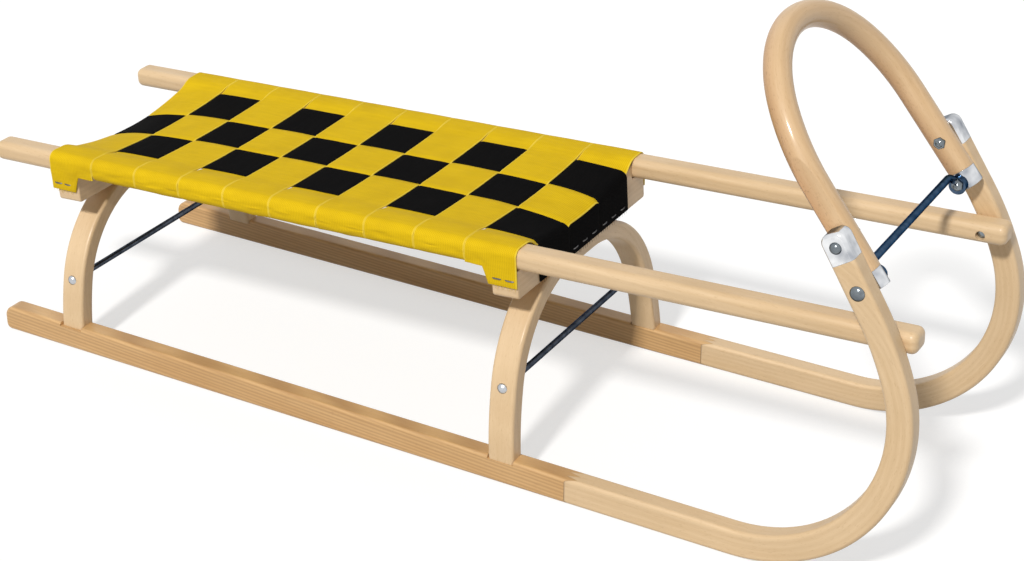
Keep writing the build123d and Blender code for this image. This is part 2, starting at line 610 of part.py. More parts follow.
def strap_section(strap, v):
    # Outline of a strap cut along the seat, with its ends turned down over both crossbeams.
    centre = []
    for band in range(BAND_COUNT):
        shift = -layer if band_on_top(band, strap) else layer
        start = band_start + band * band_pitch
        for u in (start, start + BAND_W):
            centre.append((u, web_level(u, v) + shift))
    rear_edge = band_start
    if band_on_top(0, strap):
        rear_edge = rear_face
        centre[0] = (rear_face, centre[0][1])
    upper = [(u, w + WEB_T / 2) for u, w in centre]
    lower = [(u, w - WEB_T / 2) for u, w in reversed(centre)]
    hang = -rail_top - STRAP_DROP
    front_in = front_face + STRAP_CLEAR
    front_low = front_in + face_shift
    rear_in = rear_edge - STRAP_CLEAR
    rear_low = rear_face - STRAP_CLEAR + face_shift
    over_front = [(front_in + WEB_T, upper[-1][1] - WEB_T / 2), (front_low + WEB_T, hang), (front_low, hang),
                  (front_in, lower[0][1])]
    over_rear = [(rear_in, lower[-1][1]), (rear_low, hang), (rear_low - WEB_T, hang),
                 (rear_in - WEB_T, upper[0][1] - WEB_T / 2)]
    return upper + over_front + lower + over_rear


for band in range(BAND_COUNT):
    start = band_start + band * band_pitch
    at_end = band in (0, BAND_COUNT - 1)
    with BuildPart() as web_band:
        for u in (start, start + BAND_W):
            with BuildSketch(across(u)):
                with BuildLine():
                    Polyline(*band_section(band, u), close=True)
                make_face()
        loft(ruled=True)
        with BuildSketch(across(start)):
            with Locations((RAIL_Y, 0), (-RAIL_Y, 0)):
                RectangleRounded(RAIL_W + 2 * WEB_T, RAIL_H + 2 * WEB_T, RAIL_ROUND + WEB_T)
                RectangleRounded(RAIL_W, RAIL_H, RAIL_ROUND, mode=Mode.SUBTRACT)
            Rectangle(2 * wrap_y, 2 * RAIL_H, mode=Mode.SUBTRACT)
            if at_end:
                with Locations((RAIL_Y, -RAIL_H), (-RAIL_Y, -RAIL_H)):
                    Rectangle(2 * RAIL_W, 2 * RAIL_H, mode=Mode.SUBTRACT)
                with Locations((rail_out + WEB_T / 2, -rail_top / 2), (-rail_out - WEB_T / 2, -rail_top / 2)):
                    Rectangle(WEB_T, rail_top)
        extrude(amount=BAND_W)
        if at_end:
            flap_start = band_start if band == 0 else front_face - FLAP_W
            flap_y = rail_out + WEB_T / 2
            with BuildSketch(across(flap_start)):
                with Locations((flap_y, -rail_top - FLAP / 2), (-flap_y, -rail_top - FLAP / 2)):
                    Rectangle(WEB_T, FLAP)
            extrude(amount=FLAP_W)
    save(web_band.part, "band_%02d" % (band + 1))

for strap, name in ((1, "strap_left"), (0, "strap_middle"), (-1, "strap_right")):
    with BuildPart() as web_strap:
        for v in (strap * STRAP_PITCH - STRAP_W / 2, strap * STRAP_PITCH + STRAP_W / 2):
            with BuildSketch(lengthwise(v)):
                with BuildLine():
                    Polyline(*strap_section(strap, v), close=True)
                make_face()
        loft(ruled=True)
    save(web_strap.part, name)
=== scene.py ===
# %% [markdown]
# # Bentwood horn sled with a woven seat
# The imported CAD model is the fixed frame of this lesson: every wooden bar, bolt and rod in it already has
# its true shape and place. What is left for Blender is the light, the finishes, the woven webbing of the
# seat and the small hardware. All lengths are metres, +X is forward and Z is up from the runners' soles.

# %% Load the frame
from math import cos, exp, pi, radians, sin, tan

import bmesh
import bpy
from mathutils import Matrix, Vector, noise


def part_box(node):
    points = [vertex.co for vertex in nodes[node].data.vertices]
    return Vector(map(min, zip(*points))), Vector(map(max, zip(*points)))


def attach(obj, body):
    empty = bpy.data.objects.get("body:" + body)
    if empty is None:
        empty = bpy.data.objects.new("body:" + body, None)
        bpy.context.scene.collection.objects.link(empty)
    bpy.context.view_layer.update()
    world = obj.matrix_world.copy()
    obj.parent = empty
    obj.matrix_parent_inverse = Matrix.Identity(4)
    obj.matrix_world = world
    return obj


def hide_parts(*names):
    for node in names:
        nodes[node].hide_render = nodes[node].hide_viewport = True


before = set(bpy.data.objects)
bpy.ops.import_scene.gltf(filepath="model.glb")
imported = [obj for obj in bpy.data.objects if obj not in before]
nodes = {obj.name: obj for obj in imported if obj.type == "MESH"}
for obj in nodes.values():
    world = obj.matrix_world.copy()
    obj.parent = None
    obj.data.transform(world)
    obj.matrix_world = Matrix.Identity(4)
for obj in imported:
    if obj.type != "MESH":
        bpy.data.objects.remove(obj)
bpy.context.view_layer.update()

# %% [markdown]
# ## Camera
# A camera could be moved by hand until the view looks right. Here it was fitted to the straight rails,
# the runners and the bolts instead, so its place, turn and lens are plain numbers. The small shift keeps
# the picture's centre where the photograph has it.

# %% Camera
camera_data = bpy.data.cameras.new("photo_camera")
camera_data.lens = 74.43
camera_data.sensor_width = 36.0
camera_data.shift_x = 0.001
camera_data.shift_y = -0.0018
camera = bpy.data.objects.new("photo_camera", camera_data)
camera.location = (1.0656, -1.7910, 1.2161)
camera.rotation_euler = (1.08978, -0.00125, 0.51976)
bpy.context.collection.objects.link(camera)
bpy.context.scene.camera = camera
bpy.context.scene.view_settings.view_transform = "Standard"
print("camera lens:", camera_data.lens)

# %% [markdown]
# ## Where the seat lies
# The seat rails climb a little towards the front, so the seat has a frame of its own: u runs along the
# rails from their rear ends, v to the left and w up from the rails' centre lines. One small function turns
# such a point into the frame of the whole sled, and the webbing below is laid out in it.

# %% Seat frame
SEAT_SLOPE = radians(2.68)
SEAT_REAR_Z = 0.213
RAIL_Y = 0.1285
RAIL_W = 0.028
RAIL_TOP = 0.01125
RAIL_ROUND = 0.008
RAIL_OUT = RAIL_Y + RAIL_W / 2
WRAP_Y = RAIL_Y - RAIL_W / 2 + RAIL_ROUND
seat_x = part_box("rail_left")[0][0] + (RAIL_TOP - RAIL_ROUND) * sin(SEAT_SLOPE)


def seat_point(u, v, w):
    x = seat_x + u * cos(SEAT_SLOPE) - w * sin(SEAT_SLOPE)
    z = SEAT_REAR_Z + u * sin(SEAT_SLOPE) + w * cos(SEAT_SLOPE)
    return Vector((x, v, z))


print("seat starts at x =", round(seat_x, 4))

# %% [markdown]
# ## The lie of the webbing
# Ten yellow bands cross the seat and three black straps run along it, each over and under in turn. Between
# the rails the weave is taut, and it dips only where the straps pull it down onto the dished crossbeams.
# A cloth simulation would erase such thin flat bands, so their surface is given by two height functions:
# one for the sheet between the two layers, and one for the step from over to under.

# %% Heights of the woven sheet
WEB_T = 0.0016
LAYER = 0.00095
BAND_W = 0.060
CLOTH_W = 0.0610
BAND_COUNT = 10
BAND_START = 0.0845
REAR_FACE = 0.0890
FRONT_FACE = 0.69464
BAND_PITCH = (FRONT_FACE - BAND_START - BAND_W) / (BAND_COUNT - 1)
STRAP_W = 0.0615
STRAP_PITCH = 0.0663
SAG_REAR = 0.019
SAG_FRONT = 0.016
SAG_MIDDLE = 0.003
SAG_REACH = 0.045
CROSS_STEP = 0.0045
PUCKER = 0.00022
BAND_CROWN = 0.0005


def ease(value):
    value = min(max(value, 0.0), 1.0)
    return value * value * (3 - 2 * value)


def sheet_level(u, v):
    rear_dip = (SAG_REAR - SAG_MIDDLE) * exp((BAND_START - u) / SAG_REACH)
    front_dip = (SAG_FRONT - SAG_MIDDLE) * exp((u - FRONT_FACE) / SAG_REACH)
    return RAIL_TOP - WEB_T - (SAG_MIDDLE + rear_dip + front_dip) * (1 - (v / WRAP_Y) ** 2)


def band_over(band, strap):
    return 1.0 if (band + abs(strap)) % 2 == 1 else -1.0


def pucker(u, v, seed):
    return PUCKER * noise.noise(Vector((u * 55, v * 38, seed)))


print("band pitch:", round(BAND_PITCH, 5))

# %% [markdown]
# ## A strip of webbing
# Every piece of webbing starts as one flat grid, which gets its UV map while it is still flat, so the weave
# will follow the cloth round every bend. Each row of the grid is then moved to its place on the path of the
# strip. A Solidify modifier gives the strip its thickness and a Bevel rounds the woven selvages.

# %% Strip maker
SELVAGE_ROUND = 0.0006


def webbing_strip(name, width, columns, path):
    # path(share) gives the points along the strip at a share of its width, the same number for each share.
    middle = path(0.5)
    lengths = [0.0]
    for first, second in zip(middle, middle[1:]):
        lengths.append(lengths[-1] + (second - first).length)
    rows = len(middle) - 1
    bm = bmesh.new()
    bmesh.ops.create_grid(bm, x_segments=columns, y_segments=rows, size=0.5)
    uv_layer = bm.loops.layers.uv.new("flat_cloth")
    lanes = [path(column / columns) for column in range(columns + 1)]
    for face in bm.faces:
        face.smooth = True
        for loop in face.loops:
            row = round((loop.vert.co.y + 0.5) * rows)
            loop[uv_layer].uv = ((loop.vert.co.x + 0.5) * width, lengths[row])
    for vert in bm.verts:
        column = round((vert.co.x + 0.5) * columns)
        row = round((vert.co.y + 0.5) * rows)
        vert.co = lanes[column][row]
    mesh = bpy.data.meshes.new(name)
    bm.to_mesh(mesh)
    bm.free()
    piece = bpy.data.objects.new(name, mesh)
    bpy.context.collection.objects.link(piece)
    thickness = piece.modifiers.new("webbing thickness", "SOLIDIFY")
    thickness.thickness = WEB_T
    thickness.offset = 0.0
    selvage = piece.modifiers.new("round selvage", "BEVEL")
    selvage.width = SELVAGE_ROUND
    selvage.segments = 2
    selvage.limit_method = "ANGLE"
    selvage.angle_limit = radians(50)
    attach(piece, "root")
    area = sum(polygon.area for polygon in mesh.polygons)
    return piece, lengths[-1], area


print("strip maker ready")

# %% [markdown]
# ## Yellow bands
# A band comes from under one rail, round its outer side, over its top and across the seat to the other rail.
# The outermost two bands end in flaps on the rails' sides, which reach down over the crossbeams' ends.
# Across the seat the band's height is the sheet's height plus a step up or down at every strap.

# %% Band paths
TURN_STEPS = 6
UNDER_STEPS = 3
UNDER_STEP = 0.004
CREASE = 0.0017


def band_height(band, u, v):
    reach = abs(v)
    over_edge = STRAP_PITCH + STRAP_W / 2
    crossing = ease((reach - STRAP_PITCH / 2 + CROSS_STEP) / (2 * CROSS_STEP))
    lift = LAYER * (band_over(band, 0) * (1 - crossing) + band_over(band, 1) * crossing)
    share = (u - BAND_START - band * BAND_PITCH) / BAND_W
    crown = BAND_CROWN * sin(pi * min(max(share, 0.0), 1.0))
    level = sheet_level(u, reach) + lift + crown + pucker(u, v, band)
    onto_rail = ease((reach - over_edge) / (WRAP_Y - over_edge))
    return level * (1 - onto_rail) + (RAIL_TOP + WEB_T / 2) * onto_rail


def rail_turn(drop, bulge):
    # Points over the rail's top, round its upper outer edge and down its side, as (v, w) on the left.
    points = []
    radius = RAIL_ROUND + WEB_T / 2 + bulge
    side_w = RAIL_TOP - RAIL_ROUND
    for step in range(TURN_STEPS + 1):
        angle = pi / 2 * step / TURN_STEPS
        points.append((RAIL_OUT - RAIL_ROUND + radius * sin(angle), side_w + radius * cos(angle)))
    side_v = points[-1][0]
    for step in range(1, TURN_STEPS + 1):
        points.append((side_v, side_w + (drop - side_w) * step / TURN_STEPS))
    return points


def under_turn(bulge):
    # Points round the rail's lower outer edge and in under the rail.
    radius = RAIL_ROUND + WEB_T / 2 + bulge
    points = []
    turn_v = RAIL_OUT - RAIL_ROUND
    for step in range(1, TURN_STEPS + 1):
        angle = pi / 2 * step / TURN_STEPS
        points.append((turn_v + radius * cos(angle), -RAIL_TOP + RAIL_ROUND - radius * sin(angle)))
    under_w = points[-1][1]
    for step in range(1, UNDER_STEPS + 1):
        points.append((turn_v - UNDER_STEP * step, under_w))
    return points


def crease(u, row, seed):
    # Outward swelling where the cloth does not lie tight on the rail's side.
    swell = max(0.0, noise.noise(Vector((u * 48, row * 0.55, seed))))
    return CREASE * swell * ease((row - 2) / 3)


print("half turn of a band:", len(rail_turn(-0.003, 0.0)) + len(under_turn(0.0)), "points")

# %% Bands
FLAP = 0.019
FLAP_W = 0.036
FLAP_STEP = 0.005
DECK_STEPS = 68
BAND_COLUMNS = 20
RAIL_CLEAR = 0.0003
RAIL_BULGE = 0.0002
TUCK_REACH = 0.006
TUCK_MIDDLE = 0.0008
TUCK_BESIDE = 0.0024
bands = []
for band in range(BAND_COUNT):
    start = BAND_START + band * BAND_PITCH
    ends = band in (0, BAND_COUNT - 1)

    def band_lane(share):
        u = start + BAND_W / 2 + (share - 0.5) * CLOTH_W
        bulge = RAIL_CLEAR + RAIL_BULGE * sin(pi * share)
        if ends:
            inside = u - BAND_START if band == 0 else FRONT_FACE - u
            hem = -RAIL_TOP - FLAP * (1 - ease((inside - FLAP_W + FLAP_STEP / 2) / FLAP_STEP))
            turn = rail_turn(hem, bulge)
        else:
            turn = rail_turn(-RAIL_TOP + RAIL_ROUND, bulge) + under_turn(bulge)
        tuck = 0.0
        if band == BAND_COUNT - 1:
            tuck = ease((u - FRONT_FACE + TUCK_REACH) / TUCK_REACH)
        near_side = [seat_point(u, -v - crease(u, row, band), w) for row, (v, w) in enumerate(turn)]
        far_side = [seat_point(u, v + crease(u, row, band + 30), w) for row, (v, w) in enumerate(turn)]
        lane = near_side[::-1]
        for step in range(DECK_STEPS + 1):
            v = -WRAP_Y + 2 * WRAP_Y * step / DECK_STEPS
            # The edge is tucked deepest under the outer straps and not at all towards the rails.
            beside = ease((abs(v) - 0.030) / 0.008) * (1 - ease((abs(v) - 0.096) / 0.014))
            fade = 1 - ease((abs(v) - 0.105) / 0.012)
            down = tuck * (TUCK_MIDDLE + TUCK_BESIDE * beside) * fade
            lane.append(seat_point(u, v, band_height(band, u, v) - down))
        return lane + far_side

    name = "band_%02d" % (band + 1)
    piece, length, area = webbing_strip("webbing_" + name, CLOTH_W, BAND_COLUMNS, band_lane)
    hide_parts(name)
    cut_area = CLOTH_W * length
    if ends:
        cut_area -= 2 * FLAP * (CLOTH_W - FLAP_W)
    bands.append(piece)
    print(piece.name, "length", round(length, 3), "cut", round(cut_area, 5), "laid", round(area, 5))

# %% [markdown]
# ## Black straps
# Each strap starts on the rear face of the rear crossbeam, rolls over its edge, runs along the seat between
# the bands and rolls down over the front crossbeam, where it is stapled. The roll is a quarter circle in
# the grid's rows. A strap that leaves under an end band rolls tighter than one that goes over it, and the
# pressed ends spread a little, so that the three straps touch each other on the crossbeams' faces.

# %% Strap paths
STRAP_DROP = 0.030
STRAP_CLEAR = 0.0003
FACE_LEAN = tan(radians(4.0) - SEAT_SLOPE)
HEM_W = -RAIL_TOP - STRAP_DROP
ROLL_STEPS = 8
HANG_STEPS = 8
RUN_STEPS = 160
STRAP_COLUMNS = 12
FLARE = 0.0042
FRONT_ROLL_OVER = 0.0088
FRONT_ROLL_UNDER = 0.0050
REAR_ROLL_OVER = 0.0050
REAR_ROLL_UNDER = 0.0044


def strap_height(strap, u, v):
    place = (u - BAND_START) / BAND_PITCH
    boundary = round(place)
    before = min(max(boundary - 1, 0), BAND_COUNT - 1)
    after = min(max(boundary, 0), BAND_COUNT - 1)
    crossing = ease(((place - boundary) * BAND_PITCH + CROSS_STEP) / (2 * CROSS_STEP))
    lift = -LAYER * (band_over(before, strap) * (1 - crossing) + band_over(after, strap) * crossing)
    return sheet_level(u, v) + lift + pucker(u, v, 20 + strap)


def roll_over(corner_u, corner_w, radius, forward, hem_u):
    # Quarter circle from the level of the seat down to the crossbeam's face, then straight down to the hem.
    points = []
    for step in range(1, ROLL_STEPS + 1):
        angle = pi / 2 * step / ROLL_STEPS
        points.append((corner_u + forward * radius * sin(angle), corner_w - radius * (1 - cos(angle))))
    last_u, last_w = points[-1]
    for step in range(1, HANG_STEPS + 1):
        share = step / HANG_STEPS
        points.append((last_u + (hem_u - last_u) * share, last_w + (HEM_W - last_w) * share))
    return points


print("strap hem lies", round(-HEM_W, 4), "below the rails' centre lines")

# %% Straps
straps = []
for strap, side in ((1, "left"), (0, "middle"), (-1, "right")):
    over_last = band_over(BAND_COUNT - 1, strap) < 0
    over_first = band_over(0, strap) < 0
    front_radius = FRONT_ROLL_OVER if over_last else FRONT_ROLL_UNDER
    rear_radius = REAR_ROLL_OVER if over_first else REAR_ROLL_UNDER
    front_out = FRONT_FACE + STRAP_CLEAR + WEB_T / 2
    rear_out = (BAND_START if over_first else REAR_FACE) - STRAP_CLEAR - WEB_T / 2

    def strap_v(share, turned):
        return strap * STRAP_PITCH + (share - 0.5) * (STRAP_W + FLARE * ease(turned))

    def strap_lane(share):
        v = strap_v(share, 0)
        front_u = front_out - front_radius
        rear_u = rear_out + rear_radius
        rear_hem = REAR_FACE - STRAP_CLEAR - WEB_T / 2 + STRAP_DROP * FACE_LEAN
        front = roll_over(front_u, strap_height(strap, front_u, v), front_radius, 1,
                          front_out + STRAP_DROP * FACE_LEAN)
        rear = roll_over(rear_u, strap_height(strap, rear_u, v), rear_radius, -1, rear_hem)
        turned = [step / ROLL_STEPS for step in range(1, ROLL_STEPS + HANG_STEPS + 1)]
        lane = []
        for (u, w), past in reversed(list(zip(front, turned))):
            lane.append(seat_point(u, strap_v(share, past), w))
        for step in range(RUN_STEPS + 1):
            u = front_u + (rear_u - front_u) * step / RUN_STEPS
            lane.append(seat_point(u, v, strap_height(strap, u, v)))
        for (u, w), past in zip(rear, turned):
            lane.append(seat_point(u, strap_v(share, past), w))
        return lane

    name = "strap_" + side
    piece, length, area = webbing_strip("webbing_" + name, STRAP_W, STRAP_COLUMNS, strap_lane)
    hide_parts(name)
    straps.append(piece)
    print(piece.name, "length", round(length, 3), "cut", round(STRAP_W * length, 5), "laid", round(area, 5))

# %% [markdown]
# ## Staples
# The hems of the straps and the flaps of the end bands are held to the wood by wire staples, of which only
# the crown shows. A crown is a beam with its ends bent into the cloth: a stretched cube gets a few cuts,
# its ends are pushed in, and its edges are bevelled. One mesh holds all the staples of one group.

# %% Staple maker
STAPLE_L = 0.011
STAPLE_WIRE = 0.0013
staple_bm = bmesh.new()
bmesh.ops.create_cube(staple_bm, size=1.0, matrix=Matrix.Diagonal((STAPLE_L, STAPLE_WIRE, STAPLE_WIRE, 1.0)))
long_edges = []
for edge in staple_bm.edges:
    if abs(edge.verts[0].co.x - edge.verts[1].co.x) > STAPLE_L / 2:
        long_edges.append(edge)
bmesh.ops.subdivide_edges(staple_bm, edges=long_edges, cuts=6, use_grid_fill=True)
for vert in staple_bm.verts:
    vert.co.z -= 0.0055 * max(0.0, 2 * abs(vert.co.x) / STAPLE_L - 0.55) ** 2
corner_edges = [edge for edge in staple_bm.edges if edge.calc_face_angle(0.0) > 0.9]
bmesh.ops.bevel(staple_bm, geom=corner_edges, offset=0.0003, offset_type="OFFSET", segments=2, profile=0.5,
                affect="EDGES", material=-1)
staple_mesh = bpy.data.meshes.new("staple")
staple_bm.to_mesh(staple_mesh)
staple_bm.free()


def add_staple(bm, centre, length_dir, outward):
    turn = Matrix((length_dir, outward.cross(length_dir), outward)).transposed().to_4x4()
    before = len(bm.verts)
    bm.from_mesh(staple_mesh)
    bm.verts.ensure_lookup_table()
    bmesh.ops.transform(bm, matrix=Matrix.Translation(centre) @ turn, verts=bm.verts[before:])


def finish_piece(bm, name, smooth=True):
    bmesh.ops.remove_doubles(bm, verts=bm.verts, dist=1e-6)
    bmesh.ops.recalc_face_normals(bm, faces=bm.faces)
    for face in bm.faces:
        face.smooth = smooth
    mesh = bpy.data.meshes.new(name)
    bm.to_mesh(mesh)
    bm.free()
    piece = bpy.data.objects.new(name, mesh)
    bpy.context.collection.objects.link(piece)
    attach(piece, "root")
    print(name, "faces:", len(mesh.polygons))
    return piece


seat_forward = seat_point(1, 0, 0) - seat_point(0, 0, 0)
seat_up = seat_point(0, 0, 1) - seat_point(0, 0, 0)
print("staple faces:", len(staple_mesh.polygons))

# %% Staples on the hems
STAPLE_RISE = 0.0065
hem_bm = bmesh.new()
for strap in (-1, 0, 1):
    for place in (-0.36, -0.02, 0.33):
        v = strap * STRAP_PITCH + place * STRAP_W
        lean = FACE_LEAN * (STRAP_DROP - STAPLE_RISE)
        front_u = FRONT_FACE + STRAP_CLEAR + WEB_T + lean + 0.0003
        rear_u = REAR_FACE - STRAP_CLEAR - WEB_T + lean - 0.0003
        add_staple(hem_bm, seat_point(front_u, v, HEM_W + STAPLE_RISE), Vector((0, 1, 0)), seat_forward)
        add_staple(hem_bm, seat_point(rear_u, v, HEM_W + STAPLE_RISE), Vector((0, -1, 0)), -seat_forward)
for side in (-1, 1):
    for u in (BAND_START + 0.009, BAND_START + 0.023, FRONT_FACE - 0.023, FRONT_FACE - 0.008):
        flap_v = side * (RAIL_OUT + WEB_T + 0.0009)
        add_staple(hem_bm, seat_point(u, flap_v, -RAIL_TOP - 0.011), seat_forward, Vector((0, side, 0)))
hem_staples = finish_piece(hem_bm, "hem_staples")

# %% [markdown]
# ## Loose threads
# Cut webbing frays, and a few thin threads stand out below every hem. They are too thin for their shape to
# matter, so each is a slim five-sided cone, turned a little by a noise value instead of a random number.

# %% Threads
THREAD_ROOT = 0.00022
THREAD_TIP = 0.00008


def add_thread(bm, root, down, lean, seed):
    length = 0.0035 + 0.003 * abs(noise.noise(Vector((seed, 3.1, 0.7))))
    tilt = 0.8 * noise.noise(Vector((seed * 1.7, 0.4, 5.2)))
    direction = (down + lean * tilt).normalized()
    turn = direction.to_track_quat("Z", "Y").to_matrix().to_4x4()
    place = Matrix.Translation(root + direction * length / 2) @ turn
    bmesh.ops.create_cone(bm, cap_ends=True, segments=5, radius1=THREAD_ROOT, radius2=THREAD_TIP, depth=length,
                          matrix=place)


black_bm = bmesh.new()
yellow_bm = bmesh.new()
for strap in (-1, 0, 1):
    for step in range(13):
        v = strap * STRAP_PITCH + (step / 12 - 0.5) * (STRAP_W - 0.003)
        seed = 7.3 * strap + 1.37 * step
        front_hem = seat_point(FRONT_FACE + STRAP_CLEAR + WEB_T / 2 + STRAP_DROP * FACE_LEAN, v, HEM_W + 0.0002)
        rear_hem = seat_point(REAR_FACE - STRAP_CLEAR - WEB_T / 2 + STRAP_DROP * FACE_LEAN, v, HEM_W + 0.0002)
        add_thread(black_bm, front_hem, -seat_up, Vector((0, 1, 0)), seed)
        add_thread(black_bm, rear_hem, -seat_up, Vector((0, 1, 0)), seed + 50)
for side in (-1, 1):
    for step in range(9):
        for first in (BAND_START + 0.001, FRONT_FACE - FLAP_W + 0.007):
            u = first + step / 8 * (FLAP_W - 0.009)
            hem = seat_point(u, side * (RAIL_OUT + WEB_T / 2 + 0.0005), -RAIL_TOP - FLAP + 0.0002)
            add_thread(yellow_bm, hem, -seat_up, seat_forward, side * 11.9 + step * 2.3 + first * 40)
black_threads = finish_piece(black_bm, "threads_black")
yellow_threads = finish_piece(yellow_bm, "threads_yellow")

# %% [markdown]
# ## Nuts of the bolts
# Inside the hoop every bolt ends in a domed nut with a hexagonal foot. The dome is in the CAD model already.
# The foot is a six-sided cone of even width, and a bevel takes the sharpness off its corners.

# %% Hexagonal feet
HORN_LEAN = radians(2.7)
NUT_WIDTH = 0.0066
NUT_H = 0.0036
NUT_DOME = 0.004
nut_bm = bmesh.new()
for level in ("upper", "lower"):
    for side, word in ((1, "left"), (-1, "right")):
        low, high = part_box("bolt_" + level + "_" + word)
        axis = Vector((0, side * cos(HORN_LEAN), sin(HORN_LEAN)))
        inner_y = low[1] if side > 0 else high[1]
        end_z = low[2] + NUT_WIDTH if level == "lower" else low[2] + 0.005
        inner_end = Vector(((low[0] + high[0]) / 2, inner_y, end_z))
        centre = inner_end + axis * (NUT_DOME - 0.0004)
        turn = axis.to_track_quat("Z", "Y").to_matrix().to_4x4()
        made = bmesh.ops.create_cone(nut_bm, cap_ends=True, segments=6, radius1=NUT_WIDTH, radius2=NUT_WIDTH,
                                     depth=NUT_H, matrix=Matrix.Translation(centre) @ turn)
        edges = list({edge for vert in made["verts"] for edge in vert.link_edges})
        bmesh.ops.bevel(nut_bm, geom=edges, offset=0.0005, offset_type="OFFSET", segments=2, profile=0.5,
                        affect="EDGES", material=-1)
nut_feet = finish_piece(nut_bm, "nut_feet", smooth=False)

# %% [markdown]
# ## Building finishes from nodes
# Every finish is a small network of shader nodes. Adding nodes one by one takes many lines, so a helper
# places a node, sets its options and either links or fills its sockets. A second one does a sum on values.


# %% Node helpers
def place(tree, kind, options=None, **sockets):
    made = tree.nodes.new(kind)
    for key, value in (options or {}).items():
        setattr(made, key, value)
    for key, value in sockets.items():
        socket = made.inputs[int(key[1:])] if key[1:].isdigit() else made.inputs[key.replace("_", " ")]
        if isinstance(value, bpy.types.NodeSocket):
            tree.links.new(value, socket)
        else:
            socket.default_value = value
    return made


def calc(tree, operation, first, second=0.0):
    return place(tree, "ShaderNodeMath", {"operation": operation}, i0=first, i1=second).outputs[0]


def blend(tree, factor, first, second):
    made = place(tree, "ShaderNodeMix", {"data_type": "RGBA"}, i0=factor, i6=first, i7=second)
    return made.outputs[2]


def span(tree, value, low, high, to_low=0.0, to_high=1.0):
    made = place(tree, "ShaderNodeMapRange", {"clamp": True}, i0=value, i1=low, i2=high, i3=to_low, i4=to_high)
    return made.outputs[0]


def stretch(tree, vector, scale):
    return place(tree, "ShaderNodeVectorMath", {"operation": "MULTIPLY"}, i0=vector, i1=scale).outputs[0]


def dot(tree, first, second):
    made = place(tree, "ShaderNodeVectorMath", {"operation": "DOT_PRODUCT"}, i0=first, i1=second)
    return made.outputs["Value"]


def cloud(tree, vector, detail=3.0, roughness=0.55):
    return place(tree, "ShaderNodeTexNoise", None, Vector=vector, Scale=1.0, Detail=detail,
                 Roughness=roughness).outputs[0]


def new_group(name, inputs, outputs):
    tree = bpy.data.node_groups.new(name, "ShaderNodeTree")
    for title, kind in inputs:
        tree.interface.new_socket(title, in_out="INPUT", socket_type=kind)
    for title, kind in outputs:
        tree.interface.new_socket(title, in_out="OUTPUT", socket_type=kind)
    return tree, tree.nodes.new("NodeGroupInput"), tree.nodes.new("NodeGroupOutput")


def use_group(tree, group, **sockets):
    return place(tree, "ShaderNodeGroup", {"node_tree": group}, **sockets)


VALUE = "NodeSocketFloat"
VECTOR = "NodeSocketVector"
print("node helpers ready")

# %% [markdown]
# ## Grain that follows a bend
# Bent wood was straight when it grew, so its grain runs round the bend with it. Object coordinates run
# straight on, so two groups bend them: one winds them round the horn's big curve, and one round the crown
# of an arch or of the hoop. Both give the same three values: along the bar, across it and through it.

# %% Bend groups
HORN_R = 0.1737
CROWN_R = 0.13
bend_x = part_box("runner_horn_left")[1][0] - HORN_R
horn_bend, entry, leave = new_group("grain_round_horn", [("Vector", VECTOR)], [("Vector", VECTOR)])
parts = place(horn_bend, "ShaderNodeSeparateXYZ", None, Vector=entry.outputs["Vector"])
past = calc(horn_bend, "SUBTRACT", parts.outputs["X"], bend_x)
rise = calc(horn_bend, "SUBTRACT", parts.outputs["Z"], HORN_R)
ahead = calc(horn_bend, "GREATER_THAN", past, 0.0)
behind = calc(horn_bend, "SUBTRACT", 1.0, ahead)
angle = calc(horn_bend, "ARCTAN2", past, calc(horn_bend, "MULTIPLY", rise, -1.0))
radius = calc(horn_bend, "SQRT", calc(horn_bend, "ADD", calc(horn_bend, "POWER", past, 2.0),
                                      calc(horn_bend, "POWER", rise, 2.0)))
along_bend = calc(horn_bend, "MULTIPLY", calc(horn_bend, "MULTIPLY", angle, HORN_R), ahead)
along = calc(horn_bend, "ADD", along_bend, calc(horn_bend, "MULTIPLY", past, behind))
depth_bend = calc(horn_bend, "MULTIPLY", calc(horn_bend, "SUBTRACT", HORN_R, radius), ahead)
depth = calc(horn_bend, "ADD", depth_bend, calc(horn_bend, "MULTIPLY", parts.outputs["Z"], behind))
wound = place(horn_bend, "ShaderNodeCombineXYZ", None, X=along, Y=parts.outputs["Y"], Z=depth)
horn_bend.links.new(wound.outputs[0], leave.inputs["Vector"])

crown_bend, entry, leave = new_group("grain_round_crown", [("Rise", VALUE), ("Side", VALUE), ("Across", VALUE)],
                                     [("Vector", VECTOR)])
above = calc(crown_bend, "MAXIMUM", entry.outputs["Rise"], 0.0)
below = calc(crown_bend, "MINIMUM", entry.outputs["Rise"], 0.0)
radius = calc(crown_bend, "SQRT", calc(crown_bend, "ADD", calc(crown_bend, "POWER", above, 2.0),
                                       calc(crown_bend, "POWER", entry.outputs["Side"], 2.0)))
angle = calc(crown_bend, "ARCTAN2", above, entry.outputs["Side"])
along = calc(crown_bend, "ADD", calc(crown_bend, "MULTIPLY", angle, CROWN_R), below)
wound = place(crown_bend, "ShaderNodeCombineXYZ", None, X=along, Y=entry.outputs["Across"], Z=radius)
crown_bend.links.new(wound.outputs[0], leave.inputs["Vector"])
print("bends start at x =", round(bend_x, 4))

# %% [markdown]
# ## Wood grain
# Beech is even and pale, with soft growth bands, fine fibres and many short dark flecks. Noise that is
# stretched along the grain gives all three at different scales. The group puts out a tone for the colour,
# a mask of flecks and a height for the bump, so that each kind of wood can mix them in its own way.

